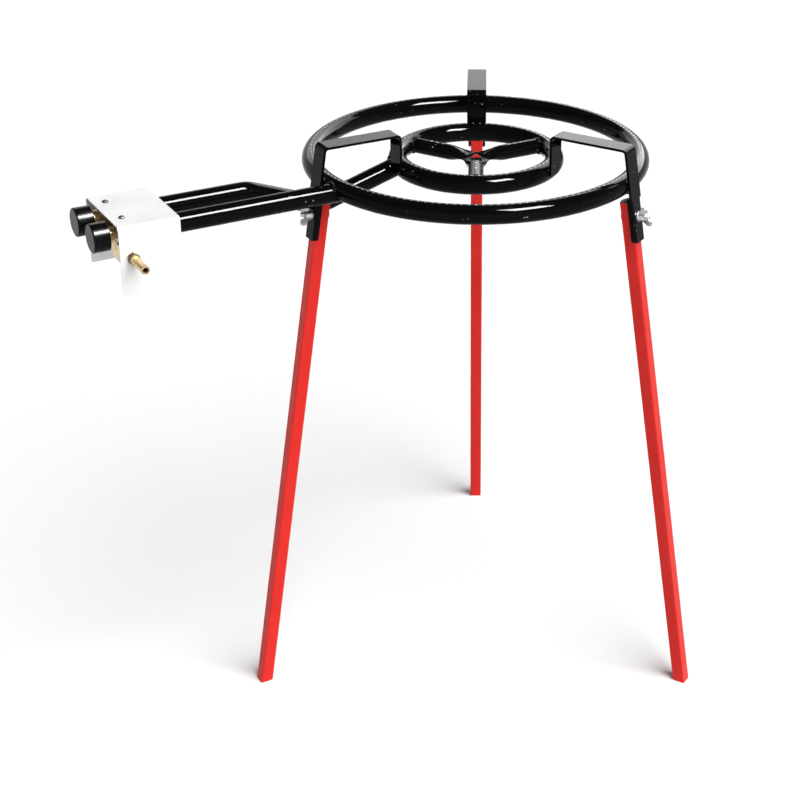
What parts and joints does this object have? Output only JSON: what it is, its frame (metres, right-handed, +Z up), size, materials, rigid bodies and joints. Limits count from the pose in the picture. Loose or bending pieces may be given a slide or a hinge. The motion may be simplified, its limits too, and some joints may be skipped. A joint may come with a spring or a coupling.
{
  "type": "gas paella burner",
  "caption": "Gas burner with concentric ring tubes, bent-strip pan supports, splayed red legs on wing nuts and a white valve housing with round knobs.",
  "frame": {"origin": "on the floor, in the middle of the overall length and width", "axes": "+X along the feed tubes from the knobs towards the rings, +Z up; the hose nozzle points along -Y"},
  "size_m": [0.6658, 0.529, 0.671],
  "materials": {
    "black_enamel": "glossy black enamel",
    "red_paint": "glossy red paint",
    "plug_plastic": "matte black",
    "zinc_plate": "bright zinc plate",
    "white_enamel": "satin white paint",
    "dark_screw": "blackened steel",
    "bare_steel": "galvanised sheet",
    "brass": "machined brass",
    "spring_wire": "spring wire",
    "knob_plastic": "moulded black plastic"
  },
  "bodies": {
    "burner": {"outer_ring": "black_enamel", "inner_ring": "black_enamel", "spoke_far": "black_enamel", "spoke_left": "black_enamel", "spoke_right": "black_enamel", "outer_feed_tube": "black_enamel", "inner_feed_tube": "black_enamel", "support_gas_side": "black_enamel", "support_left": "black_enamel", "support_right": "black_enamel", "leg_gas_side": "red_paint", "leg_left": "red_paint", "leg_right": "red_paint", "leg_plugs": "plug_plastic", "leg_bolts": "zinc_plate", "valve_housing": "white_enamel", "housing_screws": "dark_screw", "valve_bracket": "bare_steel", "gas_rail": "brass", "rail_screws": "zinc_plate", "inlet_nozzle": "brass", "outer_tap_body": "brass", "inner_tap_body": "brass", "outer_tap_bonnet": "brass", "inner_tap_bonnet": "brass", "bonnet_screws": "zinc_plate", "outer_jet": "brass", "inner_jet": "brass"},
    "outer_tap_core": {"outer_tap_plug": "brass", "outer_tap_spring": "spring_wire"},
    "outer_knob_set": {"outer_tap_stem": "brass", "outer_knob": "knob_plastic"},
    "inner_tap_core": {"inner_tap_plug": "brass", "inner_tap_spring": "spring_wire"},
    "inner_knob_set": {"inner_tap_stem": "brass", "inner_knob": "knob_plastic"},
    "washer_gas_side": {"washer_gas_side": "zinc_plate"},
    "wing_nut_gas_side": {"wing_nut_gas_side": "zinc_plate"},
    "washer_left": {"washer_left": "zinc_plate"},
    "wing_nut_left": {"wing_nut_left": "zinc_plate"},
    "washer_right": {"washer_right": "zinc_plate"},
    "wing_nut_right": {"wing_nut_right": "zinc_plate"}
  },
  "joints": [
    {"name": "outer_tap_turn", "type": "hinge", "parent": "burner", "child": "outer_tap_core", "pos_m": [-0.29805, -0.0255, 0.6235], "axis": [-1, 0, 0], "range_deg": [0, 180]},
    {"name": "outer_knob_push", "type": "slide", "parent": "outer_tap_core", "child": "outer_knob_set", "axis": [1, 0, 0], "range_m": [0, 0.0025], "stiffness_N_per_m": 400, "deforming": ["outer_tap_spring"]},
    {"name": "inner_tap_turn", "type": "hinge", "parent": "burner", "child": "inner_tap_core", "pos_m": [-0.29805, 0.0255, 0.6235], "axis": [-1, 0, 0], "range_deg": [0, 180]},
    {"name": "inner_knob_push", "type": "slide", "parent": "inner_tap_core", "child": "inner_knob_set", "axis": [1, 0, 0], "range_m": [0, 0.0025], "stiffness_N_per_m": 400, "deforming": ["inner_tap_spring"]},
    {"name": "washer_gas_side_slide", "type": "slide", "parent": "burner", "child": "washer_gas_side", "axis": [-0.9871, 0, 0.1599], "range_m": [0, 0.006]},
    {"name": "wing_nut_gas_side_turn", "type": "hinge", "parent": "washer_gas_side", "child": "wing_nut_gas_side", "pos_m": [-0.07746, 0, 0.59299], "axis": [-0.9871, 0, 0.1599], "range_deg": [0, 2163]},
    {"name": "washer_left_slide", "type": "slide", "parent": "burner", "child": "washer_left", "axis": [0.4936, 0.8549, 0.1599], "range_m": [0, 0.006]},
    {"name": "wing_nut_left_turn", "type": "hinge", "parent": "washer_left", "child": "wing_nut_left", "pos_m": [0.23816, 0.18222, 0.59299], "axis": [0.4936, 0.8549, 0.1599], "range_deg": [0, 2163]},
    {"name": "washer_right_slide", "type": "slide", "parent": "burner", "child": "washer_right", "axis": [0.4936, -0.8549, 0.1599], "range_m": [0, 0.006]},
    {"name": "wing_nut_right_turn", "type": "hinge", "parent": "washer_right", "child": "wing_nut_right", "pos_m": [0.23816, -0.18222, 0.59299], "axis": [0.4936, -0.8549, 0.1599], "range_deg": [0, 2163]}
  ],
  "couplings": [
    {"joint": "wing_nut_gas_side_turn", "follows": "washer_gas_side_slide", "rad_per_m": 6283.2},
    {"joint": "wing_nut_left_turn", "follows": "washer_left_slide", "rad_per_m": 6283.2},
    {"joint": "wing_nut_right_turn", "follows": "washer_right_slide", "rad_per_m": 6283.2}
  ]
}
